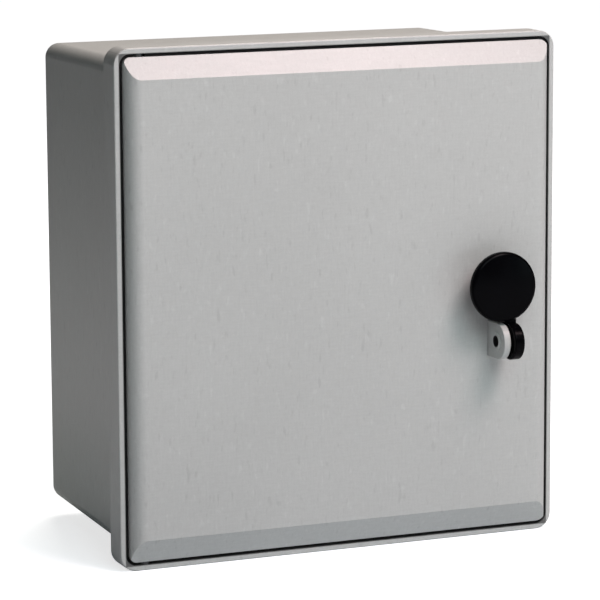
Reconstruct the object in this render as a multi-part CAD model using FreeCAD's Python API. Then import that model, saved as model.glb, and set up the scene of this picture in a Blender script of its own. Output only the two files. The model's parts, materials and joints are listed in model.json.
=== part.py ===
import FreeCAD, Part
import math
import os

Vector = FreeCAD.Vector

# Millimetres. The origin is the centre of the wall face, +X is right as seen from the
# front, +Z is up, and the door faces -Y. "Front" and "back" values below are Y places.

# Overall size of the moulded box
BOX_WIDTH = 356.0
BOX_HEIGHT = 390.0
BOX_DEPTH = 204.0

# Body moulding: a tapered tray with a wider collar round its mouth
COLLAR_WALL = 4.2
COLLAR_LENGTH = 23.5
COLLAR_CORNER = 12.5
COLLAR_EDGE = 1.2
COLLAR_STEP = 10.5
BODY_WALL = 4.0
BODY_CORNER = 11.0
BODY_DRAFT = 0.8
BACK_EDGE = 6.0
FLANGE_WALL = 3.0
RIM_WALL = 3.0
RIM_SETBACK = 2.0
RIM_CORNER = 9.0
HINGE_TO_RIM = 8.0

# Door moulding: a pan with bullnose sides and flat bevels at top and bottom
DOOR_GAP = 2.5
DOOR_WALL = 3.0
DOOR_PROUD = 10.0
SIDE_ROUND = 11.5
TOP_BEVEL = 16.0
BOTTOM_BEVEL = 18.0
SKIRT_LENGTH = 10.0
GROOVE_RIB_WALL = 2.0
GROOVE_RIB_HEIGHT = 7.0
STIFFENER_WALL = 2.5
STIFFENER_HEIGHT = 6.0
STIFFENER_TO_LOCK = 28.0
STIFFENER_PITCH_Z = 100.0
GASKET_WIDTH = 6.0
EDGE_SEAL_SETBACK = 1.0
EDGE_SEAL_LENGTH = 3.0
EDGE_SEAL_CLEARANCE = 0.5
EDGE_SEAL_ROUND = 0.6

# Hinge: two short pins, fixed in the door, that turn in blind holes of the collar
HINGE_SETBACK = 4.5
SWING_CLEARANCE = 1.0
PIN_RADIUS = 2.5
PIN_IN_COLLAR = 3.0
PIN_IN_DOOR = 14.0
SOCKET_RADIUS = 6.0
SOCKET_WEB = 8.0
WASHER_RADIUS = 3.8

# Lock: a knob on a spindle that turns a cam behind the rim
KNOB_FROM_SIDE = 57.0
KNOB_Z = 4.5
KNOB_RADIUS = 27.0
KNOB_REACH = 25.0
DISC_THICKNESS = 7.5
DISC_DOME = 1.6
DISC_FRONT_ROUND = 3.0
DISC_BACK_ROUND = 1.5
HUB_RADIUS = 15.0
TONGUE_RADIUS = 14.0
TONGUE_REACH = 21.0
TONGUE_DROP = 42.3
TONGUE_WIDTH = 8.0
TONGUE_EDGE = 1.2
TONGUE_NECK_TOP = 10.0
TONGUE_NECK_FRONT = 18.5
TONGUE_NECK_BACK = 8.0
SPINDLE_RADIUS = 5.0
SHOULDER_RADIUS = 7.0
DRIVE_HALF = 3.5
BARREL_RADIUS = 10.0
BARREL_FLAT = 8.8
BARREL_LENGTH = 26.0
ESCUTCHEON_RADIUS = 17.0
ESCUTCHEON_HEIGHT = 3.0
SEAL_HEIGHT = 1.0
NUT_ACROSS = 27.0
NUT_HEIGHT = 7.0
CAM_LENGTH = 38.0
CAM_HALF = 9.0
CAM_WALL = 3.0
CAM_SCREW_LENGTH = 12.0

# Padlock lug: a fin beside the knob's tongue, on a plate behind the door
LUG_WALL = 5.5
LUG_BELOW_DISC = 1.5
LUG_END_RADIUS = 14.0
LUG_EDGE = 0.8
LUG_RING_RADIUS = 7.25
LUG_RING_HEIGHT = 0.9
LUG_TO_TONGUE = 1.3
LUG_PLATE_HALF = 18.0
LUG_PLATE_WALL = 3.0
LUG_PLATE_MARGIN = 6.0
PADLOCK_HOLE = 4.25
PADLOCK_REACH = 15.6

# Meter board on four bosses in the body
BOARD_WALL = 5.0
BOARD_CLEARANCE = 19.3
BOARD_CORNER = 8.0
BOARD_HOLE_INSET = 12.0
BOSS_HEIGHT = 25.0
BOSS_BASE = 9.5
BOSS_TIP = 7.5
INSERT_RADIUS = 4.0
INSERT_LENGTH = 10.0
METER_SLOT_RADIUS = 2.75
METER_SLOT_LENGTH = 25.0
METER_SLOT_PITCH = 105.0
METER_SLOT_DROP = 125.0
METER_FROM_END = 50.0

# Rail for modular devices, below the meter
RAIL_LENGTH = 180.0
RAIL_WIDTH = 35.0
RAIL_CROWN = 27.0
RAIL_DEPTH = 7.5
RAIL_WALL = 1.0
RAIL_FROM_END = 50.0
RAIL_HOLE_INSET = 15.0
RAIL_SLOT_LENGTH = 15.0
RAIL_SLOT_RADIUS = 3.1
RAIL_SLOT_PITCH = 25.0
STOP_WIDTH = 8.0
STOP_HEIGHT = 46.0
STOP_DEPTH = 18.0

# Screws, nuts and washers
SCREW_RADIUS = 2.5
SCREW_HEAD_RADIUS = 4.75
SCREW_HEAD_HEIGHT = 3.0
SCREW_RECESS_HALF = 0.6
SCREW_RECESS_ARM = 2.6
SCREW_RECESS_DEPTH = 1.6
BOARD_SCREW_LENGTH = 14.0
RAIL_NUT_ACROSS = 8.0
RAIL_NUT_HEIGHT = 4.0
FLAT_WASHER_RADIUS = 6.0
FLAT_WASHER_WALL = 1.2

# Wall fixing and cable entries
FIXING_INSET = 11.3
FIXING_HOLE = 3.5
FIXING_PAD_RADIUS = 9.0
FIXING_PAD_HEIGHT = 3.0
ENTRY_PITCH = 120.0
ENTRY_FROM_WALL = 60.0
ENTRY_HOLE = 13.5
GROMMET_BORE = 8.0
GROMMET_FLANGE = 17.0
GROMMET_FLANGE_WALL = 2.5

# Clearances
RUNNING_FIT = 0.05
FIXED_FIT = 0.05
SLOT_FIT = 0.2
TOUCH = 0.3
LATCH_GAP = 0.4
HOLE_CLEARANCE = 0.25
OVERCUT = 1.0

# Derived places
COLLAR_HALF_X = BOX_WIDTH / 2
COLLAR_HALF_Z = BOX_HEIGHT / 2
COLLAR_FRONT = -BOX_DEPTH
COLLAR_BACK = COLLAR_FRONT + COLLAR_LENGTH
FLANGE_FRONT = COLLAR_BACK - FLANGE_WALL
MOUTH_HALF_X = COLLAR_HALF_X - COLLAR_WALL
MOUTH_HALF_Z = COLLAR_HALF_Z - COLLAR_WALL
MOUTH_CORNER = COLLAR_CORNER - COLLAR_WALL

DOOR_HALF_X = MOUTH_HALF_X - DOOR_GAP
DOOR_HALF_Z = MOUTH_HALF_Z - DOOR_GAP
DOOR_CORNER = MOUTH_CORNER - DOOR_GAP
DOOR_FACE = COLLAR_FRONT - DOOR_PROUD
DOOR_INNER = DOOR_FACE + DOOR_WALL
SKIRT_BACK = COLLAR_FRONT + SKIRT_LENGTH

HINGE_INSET = DOOR_PROUD + HINGE_SETBACK + SWING_CLEARANCE - DOOR_GAP
HINGE_X = -(DOOR_HALF_X - HINGE_INSET)
HINGE_Y = COLLAR_FRONT + HINGE_SETBACK

RIM_INSET = HINGE_INSET + HINGE_TO_RIM
RIM_HALF_X = DOOR_HALF_X - RIM_INSET
RIM_HALF_Z = DOOR_HALF_Z - RIM_INSET
RIM_FRONT = COLLAR_FRONT + RIM_SETBACK
OPENING_HALF_X = RIM_HALF_X - RIM_WALL
OPENING_HALF_Z = RIM_HALF_Z - RIM_WALL
GASKET_OVERHANG = (GASKET_WIDTH - RIM_WALL) / 2
GASKET_BACK = RIM_FRONT - TOUCH

KNOB_X = COLLAR_HALF_X - KNOB_FROM_SIDE
ESCUTCHEON_BACK = DOOR_FACE - SEAL_HEIGHT
ESCUTCHEON_FRONT = ESCUTCHEON_BACK - ESCUTCHEON_HEIGHT
HUB_BACK = ESCUTCHEON_FRONT - TOUCH
KNOB_FRONT = DOOR_FACE - KNOB_REACH
DISC_BACK = KNOB_FRONT + DISC_THICKNESS
BARREL_BACK = ESCUTCHEON_BACK + BARREL_LENGTH
CAM_FRONT = COLLAR_BACK + LATCH_GAP
CAM_BACK = CAM_FRONT + CAM_WALL

LUG_RIGHT = KNOB_X + LUG_WALL / 2
LUG_LEFT = LUG_RIGHT - LUG_WALL
LUG_TOP = KNOB_Z - KNOB_RADIUS - LUG_BELOW_DISC
LUG_BOTTOM = LUG_TOP - 2 * LUG_END_RADIUS
TONGUE_LEFT = LUG_RIGHT + LUG_TO_TONGUE
PADLOCK_Y = DOOR_FACE - PADLOCK_REACH
PADLOCK_Z = LUG_TOP - LUG_END_RADIUS
LUG_PLATE_BACK = DOOR_INNER + LUG_PLATE_WALL
STIFFENER_PITCH_X = KNOB_X - LUG_PLATE_HALF - STIFFENER_TO_LOCK

BOARD_BACK = -BODY_WALL - BOSS_HEIGHT
BOARD_FRONT = BOARD_BACK - BOARD_WALL
BOARD_HALF_X = OPENING_HALF_X - BOARD_CLEARANCE
BOARD_HALF_Z = OPENING_HALF_Z - BOARD_CLEARANCE
METER_UPPER_Z = BOARD_HALF_Z - METER_FROM_END
METER_LOWER_Z = METER_UPPER_Z - METER_SLOT_DROP
RAIL_Z = RAIL_FROM_END - BOARD_HALF_Z
RAIL_HOLE_PITCH = RAIL_LENGTH - 2 * RAIL_HOLE_INSET
FIXING_HALF_X = OPENING_HALF_X - FIXING_INSET
FIXING_HALF_Z = OPENING_HALF_Z - FIXING_INSET
ENTRY_Y = -ENTRY_FROM_WALL


def body_half(collar_half, y):
    """Half size of the tapered body's outside at the plane y."""
    taper = math.tan(math.radians(BODY_DRAFT))
    return collar_half - COLLAR_STEP - taper * (y - COLLAR_BACK)


def block(left, right, front, back, low, high):
    corner = Vector(left, front, low)
    return Part.makeBox(right - left, back - front, high - low, corner)


def rod_x(radius, y, z, left, right):
    return Part.makeCylinder(radius, right - left, Vector(left, y, z), Vector(1, 0, 0))


def rod_y(radius, x, z, front, back):
    return Part.makeCylinder(radius, back - front, Vector(x, front, z), Vector(0, 1, 0))


def rod_z(radius, x, y, low, high):
    return Part.makeCylinder(radius, high - low, Vector(x, y, low), Vector(0, 0, 1))


def ring_y(outer, inner, x, z, front, back):
    return rod_y(outer, x, z, front, back).cut(rod_y(inner, x, z, front, back))


def rounded_outline(half_x, half_z, radius, y):
    """A rectangle with round corners, centred on the Y axis, in the plane y."""
    arcs = []
    for quarter, (side_x, side_z) in enumerate(((1, 1), (-1, 1), (-1, -1), (1, -1))):
        points = []
        for step in (0.0, 0.5, 1.0):
            angle = math.radians(90.0 * (quarter + step))
            x = side_x * (half_x - radius) + radius * math.cos(angle)
            z = side_z * (half_z - radius) + radius * math.sin(angle)
            points.append(Vector(x, y, z))
        arcs.append(points)
    edges = []
    for index, points in enumerate(arcs):
        next_start = arcs[(index + 1) % len(arcs)][0]
        edges.append(Part.Arc(*points).toShape())
        edges.append(Part.makeLine(points[-1], next_start))
    return Part.Wire(edges)


def rounded_prism(half_x, half_z, radius, front, back):
    face = Part.Face(rounded_outline(half_x, half_z, radius, front))
    return face.extrude(Vector(0, back - front, 0))


def rounded_ring(half_x, half_z, corner, wall, front, back):
    """A closed frame whose outside is given and whose wall lies inside it."""
    outer = rounded_prism(half_x, half_z, corner, front, back)
    inner_corner = max(corner - wall, wall / 2)
    return outer.cut(rounded_prism(half_x - wall, half_z - wall, inner_corner, front, back))


def edges_at(shape, y):
    """The edges that lie wholly in the plane y."""
    found = []
    for edge in shape.Edges:
        box = edge.BoundBox
        if abs(box.YMin - y) < 0.001 and abs(box.YMax - y) < 0.001:
            found.append(edge)
    return found


def edges_across(shape, x):
    """The edges that lie wholly in the plane x."""
    found = []
    for edge in shape.Edges:
        box = edge.BoundBox
        if abs(box.XMin - x) < 0.001 and abs(box.XMax - x) < 0.001:
            found.append(edge)
    return found


def hex_prism(across, x, z, front, back):
    points = []
    for corner in range(7):
        angle = math.radians(60.0 * corner)
        reach = across / 2 / math.cos(math.radians(30.0))
        points.append(Vector(x + reach * math.cos(angle), front, z + reach * math.sin(angle)))
    face = Part.Face(Part.makePolygon(points))
    return face.extrude(Vector(0, back - front, 0))


def flatted_rod(radius, flat, x, z, front, back):
    """A round bar with a flat along its left and right sides."""
    rod = rod_y(radius, x, z, front, back)
    return rod.common(block(x - flat, x + flat, front, back, z - radius, z + radius))


def four_places(half_x, half_z):
    return [(side_x * half_x, side_z * half_z) for side_x in (-1, 1) for side_z in (-1, 1)]


def slot_cutter(length, radius, x, z, upright, front, back):
    """A slot with round ends, lying along X or standing along Z."""
    reach = length / 2 - radius
    step_x = 0.0 if upright else reach
    step_z = reach if upright else 0.0
    ends = [rod_y(radius, x + side * step_x, z + side * step_z, front, back) for side in (-1, 1)]
    half_x = step_x if step_x else radius
    half_z = step_z if step_z else radius
    middle = block(x - half_x, x + half_x, front, back, z - half_z, z + half_z)
    return middle.fuse(ends)


def pan_screw(x, z, seat, length):
    """A cross-recessed screw: its head stands in front of the plane seat."""
    head_front = seat - SCREW_HEAD_HEIGHT
    head = rod_y(SCREW_HEAD_RADIUS, x, z, head_front, seat)
    head = head.makeFillet(SCREW_HEAD_HEIGHT / 2, edges_at(head, head_front))
    screw = head.fuse(rod_y(SCREW_RADIUS, x, z, seat, seat + length))
    recess_back = head_front + SCREW_RECESS_DEPTH
    for half_x, half_z in ((SCREW_RECESS_ARM, SCREW_RECESS_HALF), (SCREW_RECESS_HALF, SCREW_RECESS_ARM)):
        arm = block(x - half_x, x + half_x, head_front - OVERCUT, recess_back, z - half_z, z + half_z)
        screw = screw.cut(arm)
    return screw


def tray_form(inset, front, back):
    """The tapered tray between two planes, or the room inside a wall of that inset."""
    corner = BODY_CORNER - inset
    wires = []
    for y in (front, back):
        half_x = body_half(COLLAR_HALF_X, y) - inset
        half_z = body_half(COLLAR_HALF_Z, y) - inset
        wires.append(rounded_outline(half_x, half_z, corner, y))
    form = Part.makeLoft(wires, True, True)
    return form.makeFillet(BACK_EDGE - inset, edges_at(form, back))


def collar():
    """The collar, the gutter floor behind the door and the upstanding sealing rim."""
    outside = rounded_prism(COLLAR_HALF_X, COLLAR_HALF_Z, COLLAR_CORNER, COLLAR_FRONT, COLLAR_BACK)
    ends = edges_at(outside, COLLAR_FRONT) + edges_at(outside, COLLAR_BACK)
    outside = outside.makeFillet(COLLAR_EDGE, ends)
    mouth = rounded_prism(MOUTH_HALF_X, MOUTH_HALF_Z, MOUTH_CORNER, COLLAR_FRONT - OVERCUT, FLANGE_FRONT)
    rim = rounded_prism(RIM_HALF_X, RIM_HALF_Z, RIM_CORNER, RIM_FRONT, COLLAR_BACK)
    opening = rounded_prism(OPENING_HALF_X, OPENING_HALF_Z, RIM_CORNER - RIM_WALL,
                            RIM_FRONT - OVERCUT, COLLAR_BACK + OVERCUT)
    return outside.cut(mouth).fuse(rim).cut(opening)


def board_boss(x, z):
    height = BOSS_HEIGHT + BODY_WALL / 2
    base = Vector(x, -BODY_WALL / 2, z)
    return Part.makeCone(BOSS_BASE, BOSS_TIP, height, base, Vector(0, -1, 0))


def body_shell():
    tray_front = (FLANGE_FRONT + COLLAR_BACK) / 2
    tray = tray_form(0.0, tray_front, 0.0)
    room = tray_form(BODY_WALL, COLLAR_BACK, -BODY_WALL)
    opening = rounded_prism(OPENING_HALF_X, OPENING_HALF_Z, RIM_CORNER - RIM_WALL,
                            tray_front - OVERCUT, COLLAR_BACK + OVERCUT)
    shell = tray.cut([room, opening]).fuse(collar())
    pads = []
    cuts = []
    for x, z in four_places(FIXING_HALF_X, FIXING_HALF_Z):
        pads.append(rod_y(FIXING_PAD_RADIUS, x, z, -BODY_WALL - FIXING_PAD_HEIGHT, -BODY_WALL / 2))
        cuts.append(rod_y(FIXING_HOLE, x, z, -BODY_WALL - FIXING_PAD_HEIGHT - OVERCUT, OVERCUT))
    for x, z in board_hole_places():
        pads.append(board_boss(x, z))
        cuts.append(rod_y(INSERT_RADIUS + FIXED_FIT, x, z, BOARD_BACK - OVERCUT,
                          BOARD_BACK + BOARD_SCREW_LENGTH))
    for side in (-1, 1):
        half = body_half(COLLAR_HALF_Z, ENTRY_Y)
        cuts.append(rod_z(ENTRY_HOLE, side * ENTRY_PITCH / 2, ENTRY_Y, -half - OVERCUT * 2,
                          -half + BODY_WALL + OVERCUT * 2))
    for side in (-1, 1):
        ends = sorted((side * (MOUTH_HALF_Z - OVERCUT), side * (MOUTH_HALF_Z + PIN_IN_COLLAR)))
        cuts.append(rod_z(PIN_RADIUS + RUNNING_FIT, HINGE_X, HINGE_Y, *ends))
    return shell.fuse(pads).cut(cuts).removeSplitter()


def bevel_places(bevel, inset):
    """Where a bevel meets the door's end wall and its face, inset into the moulding.

    Returns the bevel's depth behind the face at the end wall, and its height below the
    end of the door at the face."""
    slope_length = math.hypot(bevel, DOOR_PROUD)
    depth = DOOR_PROUD + inset * (slope_length - DOOR_PROUD) / bevel
    height = (inset * slope_length + (DOOR_PROUD - inset) * bevel) / DOOR_PROUD
    return depth, height


def door_form(inset, back):
    """The door's outside, or with an inset the room inside a wall of that thickness."""
    face = DOOR_FACE + inset
    half_x = DOOR_HALF_X - inset
    half_z = DOOR_HALF_Z - inset
    radius = SIDE_ROUND - inset
    round_y = DOOR_FACE + SIDE_ROUND
    diagonal = radius * math.sqrt(0.5)

    def side_arc(side):
        centre = side * (half_x - radius)
        return Part.Arc(Vector(side * half_x, round_y, 0),
                        Vector(centre + side * diagonal, round_y - diagonal, 0),
                        Vector(centre, face, 0)).toShape()

    right_arc = side_arc(1)
    left_arc = side_arc(-1)
    plan = Part.Wire([
        Part.makeLine(Vector(half_x, back, 0), Vector(half_x, round_y, 0)),
        right_arc,
        Part.makeLine(Vector(half_x - radius, face, 0), Vector(radius - half_x, face, 0)),
        left_arc,
        Part.makeLine(Vector(-half_x, round_y, 0), Vector(-half_x, back, 0)),
        Part.makeLine(Vector(-half_x, back, 0), Vector(half_x, back, 0)),
    ])
    across = Part.Face(plan).extrude(Vector(0, 0, 2 * half_z))
    across.translate(Vector(0, 0, -half_z))

    top_depth, top_height = bevel_places(TOP_BEVEL, inset)
    bottom_depth, bottom_height = bevel_places(BOTTOM_BEVEL, inset)
    side_points = [
        (back, -half_z),
        (DOOR_FACE + bottom_depth, -half_z),
        (face, bottom_height - DOOR_HALF_Z),
        (face, DOOR_HALF_Z - top_height),
        (DOOR_FACE + top_depth, half_z),
        (back, half_z),
        (back, -half_z),
    ]
    outline = Part.makePolygon([Vector(-half_x, y, z) for y, z in side_points])
    upright = Part.Face(outline).extrude(Vector(2 * half_x, 0, 0))
    rounded = rounded_prism(half_x, half_z, DOOR_CORNER - inset / 2, face - OVERCUT, back)
    return across.common(upright).common(rounded)


def gasket_groove():
    """Two ribs on the door's back that hold the gasket between them."""
    back = DOOR_INNER + GROOVE_RIB_HEIGHT
    ribs = []
    for spread in (GASKET_OVERHANG + FIXED_FIT + GROOVE_RIB_WALL,
                   -RIM_WALL - GASKET_OVERHANG - FIXED_FIT):
        ribs.append(rounded_ring(RIM_HALF_X + spread, RIM_HALF_Z + spread, RIM_CORNER + spread,
                                 GROOVE_RIB_WALL, DOOR_INNER - DOOR_WALL / 2, back))
    return ribs


def door_stiffeners():
    """A lattice of low ribs inside the groove."""
    half_x = OPENING_HALF_X - GASKET_OVERHANG - GROOVE_RIB_WALL / 2
    half_z = OPENING_HALF_Z - GASKET_OVERHANG - GROOVE_RIB_WALL / 2
    front = DOOR_INNER - DOOR_WALL / 2
    back = DOOR_INNER + STIFFENER_HEIGHT
    wall = STIFFENER_WALL / 2
    ribs = []
    for step in (-1, 0, 1):
        x = step * STIFFENER_PITCH_X
        ribs.append(block(x - wall, x + wall, front, back, -half_z, half_z))
    for step in (-1, 1):
        z = step * STIFFENER_PITCH_Z
        ribs.append(block(-half_x, half_x, front, back, z - wall, z + wall))
    return ribs


def hinge_socket(side):
    """The boss inside the door's corner that a hinge pin is fixed in."""
    top = DOOR_HALF_Z - DOOR_WALL / 2
    low = DOOR_HALF_Z - PIN_IN_DOOR - DOOR_WALL
    ends = sorted((side * low, side * top))
    boss = rod_z(SOCKET_RADIUS, HINGE_X, HINGE_Y, *ends)
    web = block(HINGE_X - SOCKET_WEB / 2, HINGE_X + SOCKET_WEB / 2,
                DOOR_INNER - DOOR_WALL / 2, HINGE_Y, *ends)
    return boss.fuse(web)


def door_shell():
    room_back = SKIRT_BACK + OVERCUT
    outside = door_form(0.0, SKIRT_BACK)
    shell = outside.cut(door_form(DOOR_WALL, room_back))
    sockets = [hinge_socket(side).common(outside.fuse(door_form(DOOR_WALL, FLANGE_FRONT)))
               for side in (-1, 1)]
    shell = shell.fuse(gasket_groove() + door_stiffeners() + sockets)
    cuts = []
    for side in (-1, 1):
        ends = sorted((side * (DOOR_HALF_Z - PIN_IN_DOOR), side * (DOOR_HALF_Z + OVERCUT)))
        cuts.append(rod_z(PIN_RADIUS + FIXED_FIT, HINGE_X, HINGE_Y, *ends))
    cuts.append(flatted_rod(BARREL_RADIUS + FIXED_FIT, BARREL_FLAT + FIXED_FIT, KNOB_X, KNOB_Z,
                            DOOR_FACE - OVERCUT, DOOR_INNER + OVERCUT))
    cuts.append(block(LUG_LEFT - SLOT_FIT, LUG_RIGHT + SLOT_FIT, DOOR_FACE - OVERCUT,
                      DOOR_INNER + OVERCUT, LUG_BOTTOM - SLOT_FIT, LUG_TOP + SLOT_FIT))
    return shell.cut(cuts).removeSplitter()


def door_gasket():
    spread = GASKET_OVERHANG
    return rounded_ring(RIM_HALF_X + spread, RIM_HALF_Z + spread, RIM_CORNER + spread,
                        GASKET_WIDTH, DOOR_INNER, GASKET_BACK)


def door_edge_seal():
    """The rubber strip round the door's edge, in two lengths that stop at the hinge pins."""
    front = COLLAR_FRONT + EDGE_SEAL_SETBACK
    back = front + EDGE_SEAL_LENGTH
    spread = DOOR_GAP - EDGE_SEAL_CLEARANCE
    strip = rounded_ring(DOOR_HALF_X + spread, DOOR_HALF_Z + spread, DOOR_CORNER + spread,
                         spread - FIXED_FIT, front, back)
    strip = strip.makeFillet(EDGE_SEAL_ROUND, edges_at(strip, front))
    room = WASHER_RADIUS + EDGE_SEAL_CLEARANCE
    gaps = []
    for side in (-1, 1):
        ends = sorted((side * (DOOR_HALF_Z - OVERCUT), side * MOUTH_HALF_Z))
        gaps.append(block(HINGE_X - room, HINGE_X + room, front - OVERCUT, back + OVERCUT, *ends))
    return strip.cut(gaps)


def hinge_pin(side):
    inner = DOOR_HALF_Z - PIN_IN_DOOR
    outer = MOUTH_HALF_Z + PIN_IN_COLLAR - TOUCH
    ends = sorted((side * inner, side * outer))
    pin = rod_z(PIN_RADIUS, HINGE_X, HINGE_Y, *ends)
    return pin.makeChamfer(PIN_RADIUS / 5, [pin.Edges[0], pin.Edges[2]])


def hinge_washers():
    """Thin washers round the pins that keep the door off the collar."""
    washers = []
    for side in (-1, 1):
        ends = sorted((side * DOOR_HALF_Z, side * (MOUTH_HALF_Z - TOUCH)))
        ring = rod_z(WASHER_RADIUS, HINGE_X, HINGE_Y, *ends)
        washers.append(ring.cut(rod_z(PIN_RADIUS + FIXED_FIT, HINGE_X, HINGE_Y, *ends)))
    return Part.makeCompound(washers)


def knob_disc():
    """The slightly domed disc, and the hub behind it."""
    disc = rod_y(KNOB_RADIUS, KNOB_X, KNOB_Z, KNOB_FRONT, DISC_BACK)
    dome_radius = (KNOB_RADIUS ** 2 + DISC_DOME ** 2) / (2 * DISC_DOME)
    dome_centre = Vector(KNOB_X, KNOB_FRONT + dome_radius, KNOB_Z)
    disc = disc.common(Part.makeSphere(dome_radius, dome_centre, Vector(1, 0, 0)))
    disc = disc.makeFillet(DISC_FRONT_ROUND, edges_at(disc, KNOB_FRONT + DISC_DOME))
    disc = disc.makeFillet(DISC_BACK_ROUND, edges_at(disc, DISC_BACK))
    return disc.fuse(rod_y(HUB_RADIUS, KNOB_X, KNOB_Z, DISC_BACK - OVERCUT, HUB_BACK))


def lock_knob():
    """The knob with the tongue that lies beside the padlock lug."""
    right = TONGUE_LEFT + TONGUE_WIDTH
    tongue_y = DOOR_FACE - TONGUE_REACH
    tongue_z = KNOB_Z - TONGUE_DROP
    tongue = rod_x(TONGUE_RADIUS, tongue_y, tongue_z, TONGUE_LEFT, right)
    tongue = tongue.makeFillet(TONGUE_EDGE, edges_across(tongue, TONGUE_LEFT) + edges_across(tongue, right))
    neck = block(TONGUE_LEFT, right, DOOR_FACE - TONGUE_NECK_FRONT, DOOR_FACE - TONGUE_NECK_BACK,
                 tongue_z, KNOB_Z - TONGUE_NECK_TOP)
    knob = knob_disc().fuse([tongue, neck])
    knob = knob.cut(rod_x(PADLOCK_HOLE, PADLOCK_Y, PADLOCK_Z, TONGUE_LEFT - OVERCUT, right + OVERCUT))
    socket = DRIVE_HALF + FIXED_FIT
    drive = block(KNOB_X - socket, KNOB_X + socket, DISC_BACK - TOUCH, HUB_BACK + OVERCUT,
                  KNOB_Z - socket, KNOB_Z + socket)
    return knob.cut(drive).removeSplitter()


def lock_spindle():
    """Square drive in the knob, journal, shoulder, and square drive for the cam."""
    shoulder_front = BARREL_BACK + TOUCH
    drive_back = CAM_BACK - FIXED_FIT * 2
    drive = block(KNOB_X - DRIVE_HALF, KNOB_X + DRIVE_HALF, DISC_BACK, drive_back,
                  KNOB_Z - DRIVE_HALF, KNOB_Z + DRIVE_HALF)
    journal = rod_y(SPINDLE_RADIUS, KNOB_X, KNOB_Z, HUB_BACK, CAM_FRONT)
    shoulder = rod_y(SHOULDER_RADIUS, KNOB_X, KNOB_Z, shoulder_front, CAM_FRONT)
    spindle = drive.fuse([journal, shoulder])
    thread = rod_y(SCREW_RADIUS + FIXED_FIT, KNOB_X, KNOB_Z, CAM_BACK - CAM_SCREW_LENGTH, CAM_BACK)
    return spindle.cut(thread).removeSplitter()


def lock_bushing():
    flange = rod_y(ESCUTCHEON_RADIUS, KNOB_X, KNOB_Z, ESCUTCHEON_FRONT, ESCUTCHEON_BACK)
    flange = flange.makeFillet(ESCUTCHEON_HEIGHT / 3, edges_at(flange, ESCUTCHEON_FRONT))
    barrel = flatted_rod(BARREL_RADIUS, BARREL_FLAT, KNOB_X, KNOB_Z, ESCUTCHEON_BACK, BARREL_BACK)
    bore = rod_y(SPINDLE_RADIUS + RUNNING_FIT, KNOB_X, KNOB_Z, ESCUTCHEON_FRONT - OVERCUT,
                 BARREL_BACK + OVERCUT)
    return flange.fuse(barrel).cut(bore).removeSplitter()


def lock_seal():
    return ring_y(ESCUTCHEON_RADIUS, BARREL_RADIUS + FIXED_FIT, KNOB_X, KNOB_Z,
                  ESCUTCHEON_BACK, DOOR_FACE)


def lock_nut():
    back = LUG_PLATE_BACK + NUT_HEIGHT
    nut = hex_prism(NUT_ACROSS, KNOB_X, KNOB_Z, LUG_PLATE_BACK, back)
    return nut.cut(rod_y(BARREL_RADIUS + FIXED_FIT, KNOB_X, KNOB_Z, LUG_PLATE_BACK, back))


def latch_cam():
    tip = KNOB_X + CAM_LENGTH
    cam = rod_y(CAM_HALF, KNOB_X, KNOB_Z, CAM_FRONT, CAM_BACK)
    arm = block(KNOB_X, tip, CAM_FRONT, CAM_BACK, KNOB_Z - CAM_HALF, KNOB_Z + CAM_HALF)
    tip_edges = [edge for edge in arm.Edges
                 if edge.BoundBox.XMin > tip - 0.001 and edge.BoundBox.ZLength < 0.001]
    cam = cam.fuse(arm.makeFillet(CAM_HALF / 2, tip_edges))
    hole = DRIVE_HALF + FIXED_FIT
    square = block(KNOB_X - hole, KNOB_X + hole, CAM_FRONT, CAM_BACK, KNOB_Z - hole, KNOB_Z + hole)
    return cam.cut(square).removeSplitter()


def cam_washer():
    return ring_y(FLAT_WASHER_RADIUS, SCREW_RADIUS + FIXED_FIT, KNOB_X, KNOB_Z,
                  CAM_BACK, CAM_BACK + FLAT_WASHER_WALL)


def cam_screw():
    """The screw behind the cam, whose head faces the wall."""
    seat = CAM_BACK + FLAT_WASHER_WALL
    screw = pan_screw(KNOB_X, KNOB_Z, seat, CAM_SCREW_LENGTH)
    screw.rotate(Vector(KNOB_X, seat, KNOB_Z), Vector(0, 0, 1), 180.0)
    return screw


def padlock_lug():
    """The round-ended fin through the door, and the plate behind the door that the nut clamps."""
    fin = block(LUG_LEFT, LUG_RIGHT, PADLOCK_Y, LUG_PLATE_BACK, LUG_BOTTOM, LUG_TOP)
    fin = fin.fuse(rod_x(LUG_END_RADIUS, PADLOCK_Y, PADLOCK_Z, LUG_LEFT, LUG_RIGHT)).removeSplitter()
    outline = [edge for edge in edges_across(fin, LUG_LEFT) + edges_across(fin, LUG_RIGHT)
               if edge.BoundBox.YMin < LUG_PLATE_BACK - LUG_PLATE_WALL]
    fin = fin.makeFillet(LUG_EDGE, outline)
    ring = rod_x(LUG_RING_RADIUS, PADLOCK_Y, PADLOCK_Z, LUG_LEFT - LUG_RING_HEIGHT, LUG_LEFT)
    plate_low = LUG_BOTTOM - LUG_PLATE_MARGIN
    plate = block(KNOB_X - LUG_PLATE_HALF, KNOB_X + LUG_PLATE_HALF, DOOR_INNER, LUG_PLATE_BACK,
                  plate_low, KNOB_Z)
    plate = plate.fuse(rod_y(LUG_PLATE_HALF, KNOB_X, KNOB_Z, DOOR_INNER, LUG_PLATE_BACK))
    hole = rod_x(PADLOCK_HOLE, PADLOCK_Y, PADLOCK_Z, LUG_LEFT - OVERCUT * 2, LUG_RIGHT + OVERCUT)
    barrel = flatted_rod(BARREL_RADIUS + FIXED_FIT, BARREL_FLAT + FIXED_FIT, KNOB_X, KNOB_Z,
                         DOOR_INNER - OVERCUT, LUG_PLATE_BACK + OVERCUT)
    return plate.fuse([fin, ring]).cut([hole, barrel]).removeSplitter()


def board_hole_places():
    return four_places(BOARD_HALF_X - BOARD_HOLE_INSET, BOARD_HALF_Z - BOARD_HOLE_INSET)


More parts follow.
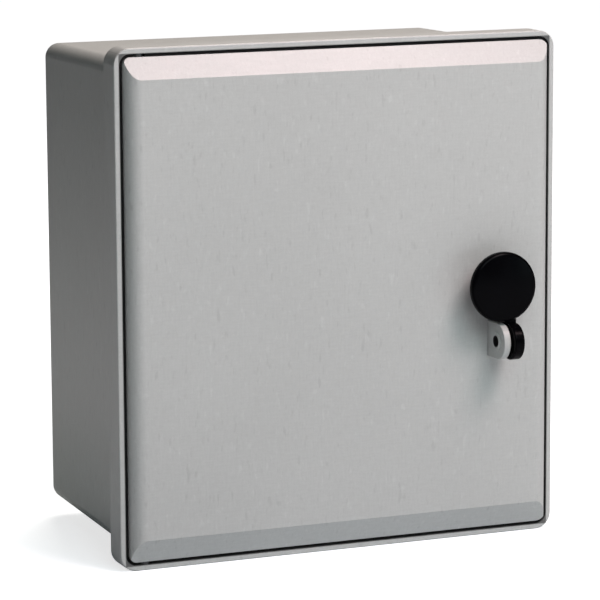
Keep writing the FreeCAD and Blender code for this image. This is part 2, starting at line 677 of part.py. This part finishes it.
def rail_hole_places():
    return [(side * RAIL_HOLE_PITCH / 2, RAIL_Z) for side in (-1, 1)]


def meter_board():
    board = rounded_prism(BOARD_HALF_X, BOARD_HALF_Z, BOARD_CORNER, BOARD_FRONT, BOARD_BACK)
    front = BOARD_FRONT - OVERCUT
    back = BOARD_BACK + OVERCUT
    cuts = []
    for x, z in board_hole_places() + rail_hole_places():
        cuts.append(rod_y(SCREW_RADIUS + HOLE_CLEARANCE, x, z, front, back))
    for side in (-1, 1):
        cuts.append(slot_cutter(METER_SLOT_LENGTH, METER_SLOT_RADIUS, side * METER_SLOT_PITCH / 2,
                                METER_LOWER_Z, False, front, back))
    cuts.append(slot_cutter(METER_SLOT_LENGTH * 2, METER_SLOT_RADIUS, 0.0, METER_UPPER_Z, True,
                            front, back))
    return board.cut(cuts)


def board_inserts():
    """Brass threaded inserts in the tips of the bosses."""
    inserts = []
    for x, z in board_hole_places():
        inserts.append(ring_y(INSERT_RADIUS, SCREW_RADIUS + FIXED_FIT, x, z,
                              BOARD_BACK, BOARD_BACK + INSERT_LENGTH))
    return Part.makeCompound(inserts)


def board_washers():
    washers = []
    for x, z in board_hole_places():
        washers.append(ring_y(FLAT_WASHER_RADIUS, SCREW_RADIUS + FIXED_FIT, x, z,
                              BOARD_FRONT - FLAT_WASHER_WALL, BOARD_FRONT))
    return Part.makeCompound(washers)


def board_screws():
    seat = BOARD_FRONT - FLAT_WASHER_WALL
    length = BOARD_SCREW_LENGTH
    return Part.makeCompound([pan_screw(x, z, seat, length) for x, z in board_hole_places()])


def din_rail():
    """The top-hat section, its crown on the board and its flanges forward."""
    half = RAIL_LENGTH / 2
    flange_front = BOARD_FRONT - RAIL_DEPTH
    crown = block(-half, half, BOARD_FRONT - RAIL_WALL, BOARD_FRONT,
                  RAIL_Z - RAIL_CROWN / 2, RAIL_Z + RAIL_CROWN / 2)
    parts = []
    for side in (-1, 1):
        web = sorted((side * RAIL_CROWN / 2, side * (RAIL_CROWN / 2 - RAIL_WALL)))
        lip = sorted((side * RAIL_WIDTH / 2, side * (RAIL_CROWN / 2 - RAIL_WALL)))
        parts.append(block(-half, half, flange_front, BOARD_FRONT, RAIL_Z + web[0], RAIL_Z + web[1]))
        parts.append(block(-half, half, flange_front, flange_front + RAIL_WALL,
                           RAIL_Z + lip[0], RAIL_Z + lip[1]))
    rail = crown.fuse(parts)
    cut_front = BOARD_FRONT - RAIL_WALL - OVERCUT
    cut_back = BOARD_FRONT + OVERCUT
    cuts = [rod_y(SCREW_RADIUS + HOLE_CLEARANCE, x, z, cut_front, cut_back)
            for x, z in rail_hole_places()]
    slot_room = RAIL_HOLE_PITCH - RAIL_SLOT_LENGTH - 2 * SCREW_HEAD_RADIUS
    slot_count = int(slot_room / RAIL_SLOT_PITCH) + 1
    for index in range(slot_count):
        x = (index - (slot_count - 1) / 2) * RAIL_SLOT_PITCH
        cuts.append(slot_cutter(RAIL_SLOT_LENGTH, RAIL_SLOT_RADIUS, x, RAIL_Z, False, cut_front, cut_back))
    return rail.cut(cuts).removeSplitter()


def rail_screws():
    seat = BOARD_FRONT - RAIL_WALL
    length = RAIL_WALL + BOARD_WALL + RAIL_NUT_HEIGHT + OVERCUT
    return Part.makeCompound([pan_screw(x, z, seat, length) for x, z in rail_hole_places()])


def rail_nuts():
    nuts = []
    for x, z in rail_hole_places():
        back = BOARD_BACK + RAIL_NUT_HEIGHT
        nut = hex_prism(RAIL_NUT_ACROSS, x, z, BOARD_BACK, back)
        nuts.append(nut.cut(rod_y(SCREW_RADIUS + FIXED_FIT, x, z, BOARD_BACK, back)))
    return Part.makeCompound(nuts)


def rail_end_stops():
    """Clamps near the rail's ends that hook over both flanges."""
    flange_front = BOARD_FRONT - RAIL_DEPTH
    front = flange_front - STOP_DEPTH + RAIL_DEPTH
    stops = []
    for side in (-1, 1):
        x = side * (RAIL_LENGTH / 2 - STOP_WIDTH)
        stop = block(x - STOP_WIDTH / 2, x + STOP_WIDTH / 2, front, BOARD_FRONT - TOUCH,
                     RAIL_Z - STOP_HEIGHT / 2, RAIL_Z + STOP_HEIGHT / 2)
        top_edges = [edge for edge in stop.Edges
                     if edge.BoundBox.YMax < front + 0.001 and edge.BoundBox.ZLength < 0.001]
        stop = stop.makeFillet(STOP_WIDTH / 2, top_edges)
        channel_half = RAIL_WIDTH / 2 + FIXED_FIT
        neck_half = RAIL_CROWN / 2 + TOUCH
        flange_room = block(x - STOP_WIDTH, x + STOP_WIDTH, flange_front - FIXED_FIT,
                            flange_front + RAIL_WALL + FIXED_FIT,
                            RAIL_Z - channel_half, RAIL_Z + channel_half)
        crown_room = block(x - STOP_WIDTH, x + STOP_WIDTH, flange_front, BOARD_FRONT,
                           RAIL_Z - neck_half, RAIL_Z + neck_half)
        stops.append(stop.cut([flange_room, crown_room]))
    return Part.makeCompound(stops)


def cable_grommets():
    """Rubber grommets in the two cable entries of the bottom wall."""
    wall_low = -body_half(COLLAR_HALF_Z, ENTRY_Y)
    tilt_play = math.tan(math.radians(BODY_DRAFT)) * GROMMET_FLANGE + FIXED_FIT
    grommets = []
    for side in (-1, 1):
        x = side * ENTRY_PITCH / 2
        flange_low = wall_low - tilt_play
        flange_high = wall_low + BODY_WALL + tilt_play
        low = flange_low - GROMMET_FLANGE_WALL
        high = flange_high + GROMMET_FLANGE_WALL
        neck = rod_z(ENTRY_HOLE - SLOT_FIT, x, ENTRY_Y, low, high)
        outer_flange = rod_z(GROMMET_FLANGE, x, ENTRY_Y, low, flange_low)
        inner_flange = rod_z(GROMMET_FLANGE, x, ENTRY_Y, flange_high, high)
        bore = rod_z(GROMMET_BORE, x, ENTRY_Y, low - OVERCUT, high + OVERCUT)
        grommets.append(neck.fuse([outer_flange, inner_flange]).cut(bore).removeSplitter())
    return Part.makeCompound(grommets)


NODES = {
    "body_shell": body_shell,
    "door_shell": door_shell,
    "door_gasket": door_gasket,
    "door_edge_seal": door_edge_seal,
    "hinge_pin_upper": lambda: hinge_pin(1),
    "hinge_pin_lower": lambda: hinge_pin(-1),
    "hinge_washers": hinge_washers,
    "lock_knob": lock_knob,
    "lock_spindle": lock_spindle,
    "lock_bushing": lock_bushing,
    "lock_seal": lock_seal,
    "lock_nut": lock_nut,
    "latch_cam": latch_cam,
    "cam_washer": cam_washer,
    "cam_screw": cam_screw,
    "padlock_lug": padlock_lug,
    "meter_board": meter_board,
    "board_inserts": board_inserts,
    "board_washers": board_washers,
    "board_screws": board_screws,
    "din_rail": din_rail,
    "rail_screws": rail_screws,
    "rail_nuts": rail_nuts,
    "rail_end_stops": rail_end_stops,
    "cable_grommets": cable_grommets,
}


def main():
    os.makedirs("parts", exist_ok=True)
    for name, make in NODES.items():
        shape = make()
        box = shape.BoundBox
        print(f"{name}: solids {len(shape.Solids)}, valid {shape.isValid()}, volume {shape.Volume:.1f}, "
              f"x {box.XMin:.1f}..{box.XMax:.1f}, y {box.YMin:.1f}..{box.YMax:.1f}, "
              f"z {box.ZMin:.1f}..{box.ZMax:.1f}")
        shape.exportStep(f"parts/{name}.step")


main()
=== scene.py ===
import json
import math

import bmesh
import bpy
from mathutils import Matrix, Vector


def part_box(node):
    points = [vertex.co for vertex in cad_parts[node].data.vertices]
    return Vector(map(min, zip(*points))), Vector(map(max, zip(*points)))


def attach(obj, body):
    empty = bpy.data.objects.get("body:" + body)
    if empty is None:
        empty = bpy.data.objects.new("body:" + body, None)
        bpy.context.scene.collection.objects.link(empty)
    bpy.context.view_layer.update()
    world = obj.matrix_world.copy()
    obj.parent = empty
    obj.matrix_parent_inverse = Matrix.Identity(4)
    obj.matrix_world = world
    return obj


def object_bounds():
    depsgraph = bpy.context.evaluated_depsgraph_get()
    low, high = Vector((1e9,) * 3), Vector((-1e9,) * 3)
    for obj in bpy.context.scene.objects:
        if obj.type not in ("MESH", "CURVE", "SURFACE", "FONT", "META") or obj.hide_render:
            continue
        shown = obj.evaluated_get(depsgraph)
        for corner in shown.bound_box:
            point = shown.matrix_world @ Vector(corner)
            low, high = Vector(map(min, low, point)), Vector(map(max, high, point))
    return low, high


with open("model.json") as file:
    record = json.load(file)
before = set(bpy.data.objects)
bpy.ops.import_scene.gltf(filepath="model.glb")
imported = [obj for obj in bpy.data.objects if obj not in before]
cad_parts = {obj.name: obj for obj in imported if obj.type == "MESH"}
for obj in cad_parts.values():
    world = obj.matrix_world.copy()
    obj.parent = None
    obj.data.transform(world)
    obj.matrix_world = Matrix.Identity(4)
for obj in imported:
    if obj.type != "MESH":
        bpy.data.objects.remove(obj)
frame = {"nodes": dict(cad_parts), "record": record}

cad_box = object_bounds()

# Lengths are in metres, in the frame's own axes: the door faces -Y and +Z is up.
MM_PER_METRE = 1000.0

# Camera, set to the viewpoint of the photograph: angles in degrees, lens and sensor in millimetres
CAMERA_PLACE = (-0.95683, -2.44592, 0.41748)
CAMERA_YAW = 22.393
CAMERA_PITCH = 9.754
CAMERA_ROLL = -0.315
CAMERA_LENS = 196.919
CAMERA_SENSOR = 36.0
CAMERA_CLIP = 100.0

# Floor and world: the lift is what the camera sees added to the floor, near the box and far away
FLOOR_REACH = 9.0
FLOOR_CELLS = 12
FLOOR_COLOUR = (0.71, 0.76, 0.80)
FLOOR_SHADES = (0.99, 1.0)
FLOOR_CLOUDS = 1.5
FLOOR_ROUGHNESS = 0.9
FLOOR_LIFT = 0.73
FLOOR_LIFT_FAR = 1.0
FLOOR_NEAR = 0.7
FLOOR_FAR = 2.2
WORLD_COLOUR = (1.0, 1.0, 1.0)
WORLD_STRENGTH = 0.01
WORLD_SEEN = 1.0

# Lamps, all aimed at the middle of the door: power in watts
LAMP_AIM = (0.0, -0.2, 0.0)
LAMPS = {
    "key": {"place": (0.578, -1.202, 1.507), "size": (0.8, 0.6),
            "power": 24.5, "colour": (1.0, 0.78, 0.79)},
    "front": {"place": (0.171, -2.158, 1.377), "size": (1.8, 1.2),
              "power": 24.0, "colour": (0.86, 0.98, 1.0)},
    "side": {"place": (1.9, -2.2, 0.1), "size": (0.9, 0.9),
             "power": 4.5, "colour": (0.70, 0.97, 1.0)},
    "back": {"place": (0.6, 1.2, 1.7), "size": (1.0, 1.0),
             "power": 28.0, "colour": (1.0, 0.93, 0.84)},
}

# Thread on the lock's barrel: its margin and half widths are shares of the pitch, and the smallest
# cosine keeps the distance to the flats finite
THREAD_PITCH = 0.0015
THREAD_HEIGHT = 0.0003
THREAD_ROOT = 0.0002
THREAD_STEPS = 48
THREAD_MARGIN = 0.5
FOOT_HALF_WIDTH = 0.42
CREST_HALF_WIDTH = 0.08
SMALLEST_COSINE = 0.001

# Painted shade in the collar's gutter, where the door's gap lies in shade: full and then ending at two
# distances inwards from the collar's wall
COLLAR_WALL = 0.0042
GUTTER_FLOOR = -0.1835
GUTTER_FULL = 0.004
GUTTER_END = 0.008
GUTTER_SHADE = 0.22
GUTTER_SHADE_FADE = 0.0008

# Painted shade on the wall of the padlock hole, which lies in shade: where it starts to fade and ends,
# outwards from the wall
HOLE_FADE = 0.00015
HOLE_EDGE = 0.0006
HOLE_SHADE = 0.04

# Noise keeps near its middle, so only a band of its values is spread
WIDE_BAND = (0.3, 0.7)
NARROW_BAND = (0.35, 0.65)

# Finishes: colours are linear, patterns are in cells per metre, shades and tints multiply a colour,
# rough is a range of roughness, and a relief is a bump's strength and its depth

# Glass-fibre moulding
GREY_MOULDING = (0.490, 0.510, 0.492)
MOULDING_CLOUDS = 7.0
MOULDING_SHADES = (0.985, 1.02)
MOULDING_ROUGH = (0.30, 0.38)
WEAVE_ACROSS = (90.0, 500.0, 620.0)
WEAVE_UPRIGHT = (620.0, 500.0, 90.0)
WEAVE_STRENGTH = 0.14
WEAVE_RELIEF = (0.06, 0.0004)
GRAIN_CELLS = 900.0
GRAIN_STRENGTH = 0.12
GRAIN_RELIEF = (0.10, 0.0003)
FIBRE_TINTS = (0.8, 1.2)
STRANDS = {
    "dark": {"stretch": (310.0, 260.0, 95.0), "band": (0.65, 0.78), "tint": 0.90},
    "pale": {"stretch": (280.0, 300.0, 110.0), "band": (0.64, 0.77), "tint": 1.07},
}

# Black plastics and rubbers, each named after its material slot: the strength is that of the grain's
# bump, and the shine is the specular level
PATCH_CELLS = 60.0
PATCH_SHADES = (0.85, 1.2)
PLASTIC_DEPTH = 0.0003
BLACKS = {
    "black_knob": {"base": (0.0015, 0.0015, 0.0020), "rough": (0.16, 0.24), "grain": 300.0,
                   "strength": 0.02, "shine": 0.04},
    "black_plastic": {"base": (0.026, 0.026, 0.028), "rough": (0.38, 0.50), "grain": 1200.0,
                      "strength": 0.12, "shine": 0.5},
    # The seal's rubber is near black, darker than the other rubbers: its own colour, and partly painted
    # shade that keeps the door's gap dark
    "seal_rubber": {"base": (0.006, 0.006, 0.006), "rough": (0.78, 0.92), "grain": 1500.0,
                    "strength": 0.35, "shine": 0.2},
    "grommet_rubber": {"base": (0.040, 0.040, 0.041), "rough": (0.55, 0.70), "grain": 900.0,
                       "strength": 0.12, "shine": 0.5},
    "nylon": {"base": (0.040, 0.040, 0.042), "rough": (0.42, 0.55), "grain": 1200.0,
              "strength": 0.10, "shine": 0.5},
}

# Metals, each named after its material slot, with the stretch of their fine lines
SPANGLE_CELLS = 260.0
SPANGLE_BAND = (0.0, 0.8)
SPANGLE_SHADES = (0.90, 1.05)
METAL_RELIEF = (0.12, 0.0001)
METALS = {
    "pin_steel": {"base": (0.62, 0.62, 0.63), "rough": (0.20, 0.34), "lines": (200.0, 200.0, 2500.0)},
    "zinc_steel": {"base": (0.66, 0.67, 0.66), "rough": (0.26, 0.42), "lines": (60.0, 900.0, 900.0)},
    "insert_brass": {"base": (0.74, 0.56, 0.27), "rough": (0.22, 0.36), "lines": (900.0, 900.0, 900.0)},
}

# Brown phenolic board
LAMINATE = (0.155, 0.082, 0.040)
LAMINATE_ACROSS = (40.0, 300.0, 420.0)
LAMINATE_UPRIGHT = (420.0, 300.0, 40.0)
LAMINATE_CLOUDS = 16.0
LAMINATE_SHADES = (0.85, 1.15)
LAMINATE_TINTS = (0.7, 1.3)
LAMINATE_STRENGTH = 0.5
LAMINATE_ROUGH = (0.38, 0.55)
LAMINATE_RELIEF = (0.1, 0.0003)

# Grey plastic of the rail's end stops
STOP_GREY = (0.36, 0.37, 0.38)
STOP_CLOUDS = 50.0
STOP_SHADES = (0.94, 1.05)
STOP_ROUGH = (0.48, 0.58)
STOP_GRAIN = 1100.0
STOP_RELIEF = (0.15, 0.0002)


# Shader building blocks

class Shader:
    """A material's node tree, with short calls for the nodes that the finishes share."""

    def __init__(self, name):
        self.material = bpy.data.materials.new(name)
        self.material.use_nodes = True
        self.tree = self.material.node_tree
        self.surface = self.tree.nodes["Principled BSDF"]
        self.place = self.tree.nodes.new("ShaderNodeTexCoord").outputs["Object"]

    def node(self, kind, **settings):
        made = self.tree.nodes.new(kind)
        for key, value in settings.items():
            setattr(made, key, value)
        return made

    def link(self, source, target):
        self.tree.links.new(source, target)

    def feed(self, target, value):
        """Links a node's output to an input, or sets the input to a number."""
        if isinstance(value, bpy.types.NodeSocket):
            self.link(value, target)
        else:
            target.default_value = value

    def split(self, vector):
        made = self.node("ShaderNodeSeparateXYZ")
        self.link(vector, made.inputs[0])
        return made.outputs

    def math(self, operation, *values):
        made = self.node("ShaderNodeMath", operation=operation)
        for place, value in enumerate(values):
            self.feed(made.inputs[place], value)
        return made.outputs["Value"]

    def noise(self, scale, detail=2.0, roughness=0.5, place=None):
        made = self.node("ShaderNodeTexNoise")
        made.inputs["Scale"].default_value = scale
        made.inputs["Detail"].default_value = detail
        made.inputs["Roughness"].default_value = roughness
        self.link(place or self.place, made.inputs["Vector"])
        return made.outputs["Fac"]

    def fibres(self, stretch, detail=3.0, roughness=0.6):
        """Noise drawn out into lines, along the axis with the fewest cells per metre."""
        mapping = self.node("ShaderNodeMapping")
        mapping.inputs["Scale"].default_value = stretch
        self.link(self.place, mapping.inputs["Vector"])
        return self.noise(1.0, detail, roughness, mapping.outputs["Vector"])

    def cells(self, scale):
        made = self.node("ShaderNodeTexVoronoi")
        made.inputs["Scale"].default_value = scale
        self.link(self.place, made.inputs["Vector"])
        return made.outputs["Distance"]

    def spread(self, value, low, high, to_low=0.0, to_high=1.0):
        made = self.node("ShaderNodeMapRange")
        for key, number in (("From Min", low), ("From Max", high), ("To Min", to_low), ("To Max", to_high)):
            made.inputs[key].default_value = number
        self.link(value, made.inputs["Value"])
        return made.outputs["Result"]

    def blend(self, factor, first, second, mode="MIX"):
        """Two colours, or a colour and another node's colour, mixed by a factor."""
        made = self.node("ShaderNodeMix", data_type="RGBA", blend_type=mode)
        self.feed(made.inputs[0], factor)
        for key, value in ((6, first), (7, second)):
            self.feed(made.inputs[key], (*value, 1.0) if isinstance(value, tuple) else value)
        return made.outputs[2]

    def shaded(self, pattern, band, base, shades):
        """A base colour that goes from one shade to another along a pattern."""
        low, high = (scaled(base, shade) for shade in shades)
        return self.blend(self.spread(pattern, *band), low, high)

    def tinted(self, colour, tint, strength=1.0):
        return self.blend(strength, colour, tint, "MULTIPLY")

    def bump(self, height, relief, below=None):
        made = self.node("ShaderNodeBump")
        made.inputs["Strength"].default_value, made.inputs["Distance"].default_value = relief
        self.link(height, made.inputs["Height"])
        if below is not None:
            self.link(below, made.inputs["Normal"])
        return made.outputs["Normal"]

    def finish(self, colour, roughness, normal):
        for key, value in (("Base Color", colour), ("Roughness", roughness), ("Normal", normal)):
            self.link(value, self.surface.inputs[key])
        return self.material


def scaled(colour, factor):
    return tuple(factor * channel for channel in colour)


# Finishes: one for each material slot, and the two mouldings with painted shade have their own

def grey_moulding(name="grey_moulding_finish", painted_shade=None):
    """Glass-fibre moulding: a fine weave and a few short strands under a satin skin, with painted shade when
    a mask is given.
    """
    shader = Shader(name)
    clouds = shader.noise(MOULDING_CLOUDS, detail=3.0, roughness=0.55)
    across = shader.fibres(WEAVE_ACROSS)
    upright = shader.fibres(WEAVE_UPRIGHT)
    grains = shader.noise(GRAIN_CELLS, roughness=0.6)
    colour = shader.shaded(clouds, NARROW_BAND, GREY_MOULDING, MOULDING_SHADES)
    for pattern, strength in ((across, WEAVE_STRENGTH), (upright, WEAVE_STRENGTH), (grains, GRAIN_STRENGTH)):
        colour = shader.tinted(colour, shader.spread(pattern, *WIDE_BAND, *FIBRE_TINTS), strength)
    for strand in STRANDS.values():
        threads = shader.fibres(strand["stretch"], detail=1.0, roughness=0.5)
        colour = shader.tinted(colour, shader.spread(threads, *strand["band"], 1.0, strand["tint"]))
    # painted shade: a given mask darkens the colour where shade falls
    if painted_shade is not None:
        colour = shader.tinted(colour, painted_shade(shader))
    roughness = shader.spread(across, *WIDE_BAND, *MOULDING_ROUGH)
    skin = shader.bump(grains, GRAIN_RELIEF)
    skin = shader.bump(upright, WEAVE_RELIEF, skin)
    return shader.finish(colour, roughness, skin)


def painted_gutter_shade(shader):
    """Painted shade: darkens the collar's inner wall and the gutter behind it, which lie in the shade of the
    door's gap.
    """
    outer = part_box("body_shell")[1]
    place = shader.split(shader.place)
    beyond_x = shader.math("SUBTRACT", shader.math("ABSOLUTE", place["X"]), outer.x - COLLAR_WALL)
    beyond_z = shader.math("SUBTRACT", shader.math("ABSOLUTE", place["Z"]), outer.z - COLLAR_WALL)
    beyond = shader.math("MAXIMUM", beyond_x, beyond_z)
    inside = shader.spread(beyond, 0.0, GUTTER_SHADE_FADE, 1.0, 0.0)
    near = shader.spread(beyond, -GUTTER_END, -GUTTER_FULL)
    ahead = shader.spread(place["Y"], GUTTER_FLOOR - GUTTER_SHADE_FADE, GUTTER_FLOOR + GUTTER_SHADE_FADE, 1.0, 0.0)
    amount = shader.math("MULTIPLY", shader.math("MULTIPLY", inside, near), ahead)
    # painted shade: the colour falls to a dark share in the gutter and on the collar's inner wall
    return shader.spread(amount, 0.0, 1.0, 1.0, GUTTER_SHADE)


def painted_hole_shade(shader):
    """Painted shade: darkens the wall of the lug's padlock hole, which lies in shade."""
    hole = next(mount for mount in frame["record"]["mounts"] if mount["name"] == "padlock_hole")
    wall = hole["dims"]["r_mm"] / MM_PER_METRE
    apart = shader.node("ShaderNodeVectorMath", operation="SUBTRACT")
    shader.link(shader.place, apart.inputs[0])
    apart.inputs[1].default_value = hole["pos_m"]
    place = shader.split(apart.outputs["Vector"])
    squares = [shader.math("POWER", shader.math("ABSOLUTE", place[axis]), 2.0) for axis in "YZ"]
    radius = shader.math("SQRT", shader.math("ADD", *squares))
    # painted shade, darkest at the hole's wall and fading outwards
    return shader.spread(radius, wall + HOLE_FADE, wall + HOLE_EDGE, HOLE_SHADE, 1.0)


def moulded_black(name, base, rough, grain, strength, shine):
    """Black moulded plastic or rubber, from glossy to dull."""
    shader = Shader(name)
    shader.surface.inputs["Specular IOR Level"].default_value = shine
    patches = shader.noise(PATCH_CELLS, detail=3.0)
    grains = shader.noise(grain, roughness=0.6)
    colour = shader.shaded(patches, NARROW_BAND, base, PATCH_SHADES)
    roughness = shader.spread(patches, *NARROW_BAND, *rough)
    return shader.finish(colour, roughness, shader.bump(grains, (strength, PLASTIC_DEPTH)))


def turned_metal(name, base, rough, lines):
    """Plated or turned metal: a faint spangle under fine lines."""
    shader = Shader(name)
    shader.surface.inputs["Metallic"].default_value = 1.0
    spangle = shader.cells(SPANGLE_CELLS)
    brushed = shader.fibres(lines)
    colour = shader.shaded(spangle, SPANGLE_BAND, base, SPANGLE_SHADES)
    roughness = shader.spread(brushed, *WIDE_BAND, *rough)
    return shader.finish(colour, roughness, shader.bump(brushed, METAL_RELIEF))


def board_laminate():
    """Brown phenolic board: pressed fibres with darker and paler threads."""
    shader = Shader("board_laminate_finish")
    across = shader.fibres(LAMINATE_ACROSS, detail=4.0, roughness=0.65)
    upright = shader.fibres(LAMINATE_UPRIGHT, detail=4.0, roughness=0.65)
    clouds = shader.noise(LAMINATE_CLOUDS, detail=3.0)
    colour = shader.shaded(clouds, NARROW_BAND, LAMINATE, LAMINATE_SHADES)
    for threads in (across, upright):
        tint = shader.spread(threads, *WIDE_BAND, *LAMINATE_TINTS)
        colour = shader.tinted(colour, tint, LAMINATE_STRENGTH)
    roughness = shader.spread(across, *WIDE_BAND, *LAMINATE_ROUGH)
    return shader.finish(colour, roughness, shader.bump(upright, LAMINATE_RELIEF))


def stop_plastic():
    """Plain grey plastic with a fine grain."""
    shader = Shader("stop_plastic_finish")
    grains = shader.noise(STOP_GRAIN)
    clouds = shader.noise(STOP_CLOUDS, detail=3.0)
    colour = shader.shaded(clouds, NARROW_BAND, STOP_GREY, STOP_SHADES)
    roughness = shader.spread(clouds, *NARROW_BAND, *STOP_ROUGH)
    return shader.finish(colour, roughness, shader.bump(grains, STOP_RELIEF))


def slot_finishes():
    """One finish for each material slot."""
    made = {"grey_moulding": grey_moulding(), "board_laminate": board_laminate(),
            "stop_plastic": stop_plastic()}
    for slot, facts in BLACKS.items():
        made[slot] = moulded_black(slot + "_finish", **facts)
    for slot, facts in METALS.items():
        made[slot] = turned_metal(slot + "_finish", **facts)
    return made


def dress_nodes(finishes):
    """Gives each solid of the frame the finish of its material slot, or its own with painted shade."""
    # painted shade: the body's gutter and the lug's padlock hole get their own darkened mouldings
    own = {"body_shell": grey_moulding("body_moulding_painted_shade_finish", painted_gutter_shade),
           "padlock_lug": grey_moulding("lug_moulding_painted_shade_finish", painted_hole_shade)}
    for subpart in frame["record"]["subparts"]:
        slots = frame["nodes"][subpart["node"]].data.materials
        slots.clear()
        slots.append(own.get(subpart["node"], finishes[subpart["material_slot"]]))


# The scene's own piece

def barrel_section(centre_x, centre_z, back):
    """Radius of the barrel and half its width across the flats, read from the points of its back end."""
    places = [vertex.co for vertex in frame["nodes"]["lock_bushing"].data.vertices]
    rim = [(place.x - centre_x, place.z - centre_z) for place in places if back - place.y < THREAD_ROOT]
    return max(math.hypot(x, z) for x, z in rim), max(abs(x) for x, z in rim)


def thread_profile(angle, radius, flat):
    """The ridge's four corners at one angle: radius, and place along the barrel in pitches."""
    to_flat = flat / max(abs(math.cos(angle)), SMALLEST_COSINE)
    crest = min(radius + THREAD_HEIGHT, to_flat - THREAD_ROOT / 2)
    foot = min(radius, to_flat) - THREAD_ROOT
    return ((foot, -FOOT_HALF_WIDTH), (crest, -CREST_HALF_WIDTH),
            (crest, CREST_HALF_WIDTH), (foot, FOOT_HALF_WIDTH))


def thread_rings(mesh):
    """Rings of corners along the helix, from the nut to the barrel's end, less a margin at both."""
    nut_low, nut_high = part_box("lock_nut")
    start = nut_high.y
    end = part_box("lock_bushing")[1].y
    centre_x = (nut_low.x + nut_high.x) / 2
    centre_z = (nut_low.z + nut_high.z) / 2
    radius, flat = barrel_section(centre_x, centre_z, end)
    turns = (end - start) / THREAD_PITCH - 2 * THREAD_MARGIN
    rings = []
    for step in range(int(turns * THREAD_STEPS)):
        angle = 2.0 * math.pi * step / THREAD_STEPS
        middle = start + THREAD_PITCH * (THREAD_MARGIN + step / THREAD_STEPS)
        ring = []
        for reach, along in thread_profile(angle, radius, flat):
            ring.append(mesh.verts.new((centre_x + reach * math.cos(angle), middle + along * THREAD_PITCH,
                                        centre_z + reach * math.sin(angle))))
        rings.append(ring)
    return rings


def add_barrel_thread(finish):
    """A helical ridge on the lock's barrel, between its nut and its end, cut back at the two flats."""
    mesh = bmesh.new()
    rings = thread_rings(mesh)
    for before, after in zip(rings, rings[1:]):
        for side in range(len(before)):
            following = (side + 1) % len(before)
            mesh.faces.new((before[side], before[following], after[following], after[side]))
    mesh.faces.new(rings[0])
    mesh.faces.new(rings[-1])
    bmesh.ops.recalc_face_normals(mesh, faces=mesh.faces)
    data = bpy.data.meshes.new("barrel_thread")
    mesh.to_mesh(data)
    mesh.free()
    data.materials.append(finish)
    piece = bpy.data.objects.new("barrel_thread", data)
    bpy.context.scene.collection.objects.link(piece)
    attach(piece, "door")


# Studio

def floor_finish():
    """A pale floor that the camera sees as white, apart from the object's shadow."""
    shader = Shader("floor_finish")
    clouds = shader.noise(FLOOR_CLOUDS)
    colour = shader.shaded(clouds, WIDE_BAND, FLOOR_COLOUR, FLOOR_SHADES)
    shader.link(colour, shader.surface.inputs["Base Color"])
    shader.surface.inputs["Roughness"].default_value = FLOOR_ROUGHNESS
    reach = shader.node("ShaderNodeVectorMath", operation="LENGTH")
    shader.link(shader.place, reach.inputs[0])
    away = shader.spread(reach.outputs["Value"], FLOOR_NEAR, FLOOR_FAR, FLOOR_LIFT, FLOOR_LIFT_FAR)
    path = shader.node("ShaderNodeLightPath")
    glow = shader.node("ShaderNodeEmission")
    shader.link(shader.math("MULTIPLY", path.outputs["Is Camera Ray"], away), glow.inputs["Strength"])
    both = shader.node("ShaderNodeAddShader")
    shader.link(shader.surface.outputs["BSDF"], both.inputs[0])
    shader.link(glow.outputs["Emission"], both.inputs[1])
    shader.link(both.outputs["Shader"], shader.tree.nodes["Material Output"].inputs["Surface"])
    return shader.material


def add_floor():
    """A flat floor at the height of the box's lowest point."""
    mesh = bpy.data.meshes.new("floor")
    grid = bmesh.new()
    bmesh.ops.create_grid(grid, x_segments=FLOOR_CELLS, y_segments=FLOOR_CELLS, size=FLOOR_REACH)
    grid.to_mesh(mesh)
    grid.free()
    mesh.materials.append(floor_finish())
    floor = bpy.data.objects.new("floor", mesh)
    floor.location = (0.0, 0.0, cad_box[0][2])
    bpy.context.scene.collection.objects.link(floor)


def add_world():
    """White where the camera sees it, and a weak soft light elsewhere."""
    world = bpy.data.worlds.new("studio")
    bpy.context.scene.world = world
    world.use_nodes = True
    tree = world.node_tree
    background = tree.nodes["Background"]
    background.inputs["Color"].default_value = (*WORLD_COLOUR, 1.0)
    path = tree.nodes.new("ShaderNodeLightPath")
    strength = tree.nodes.new("ShaderNodeMapRange")
    strength.inputs["To Min"].default_value = WORLD_STRENGTH
    strength.inputs["To Max"].default_value = WORLD_SEEN
    tree.links.new(path.outputs["Is Camera Ray"], strength.inputs["Value"])
    tree.links.new(strength.outputs["Result"], background.inputs["Strength"])


def add_lamps():
    for name, facts in LAMPS.items():
        data = bpy.data.lights.new(name, "AREA")
        data.shape = "RECTANGLE"
        data.size, data.size_y = facts["size"]
        data.energy = facts["power"]
        data.color = facts["colour"]
        lamp = bpy.data.objects.new(name, data)
        lamp.location = facts["place"]
        aim = Vector(LAMP_AIM) - lamp.location
        lamp.rotation_euler = aim.to_track_quat("-Z", "Y").to_euler()
        bpy.context.scene.collection.objects.link(lamp)


def add_camera():
    data = bpy.data.cameras.new("camera")
    data.lens = CAMERA_LENS
    data.sensor_width = CAMERA_SENSOR
    data.clip_end = CAMERA_CLIP
    camera = bpy.data.objects.new("camera", data)
    turn = Matrix.Rotation(math.radians(-CAMERA_YAW), 4, "Z")
    tilt = Matrix.Rotation(math.radians(90.0 - CAMERA_PITCH), 4, "X")
    roll = Matrix.Rotation(math.radians(CAMERA_ROLL), 4, "Z")
    camera.matrix_world = Matrix.Translation(CAMERA_PLACE) @ turn @ tilt @ roll
    bpy.context.scene.collection.objects.link(camera)
    bpy.context.scene.camera = camera


finishes = slot_finishes()
dress_nodes(finishes)
add_barrel_thread(finishes["black_plastic"])
add_floor()
add_world()
add_lamps()
add_camera()
bpy.context.scene.view_settings.view_transform = "Standard"
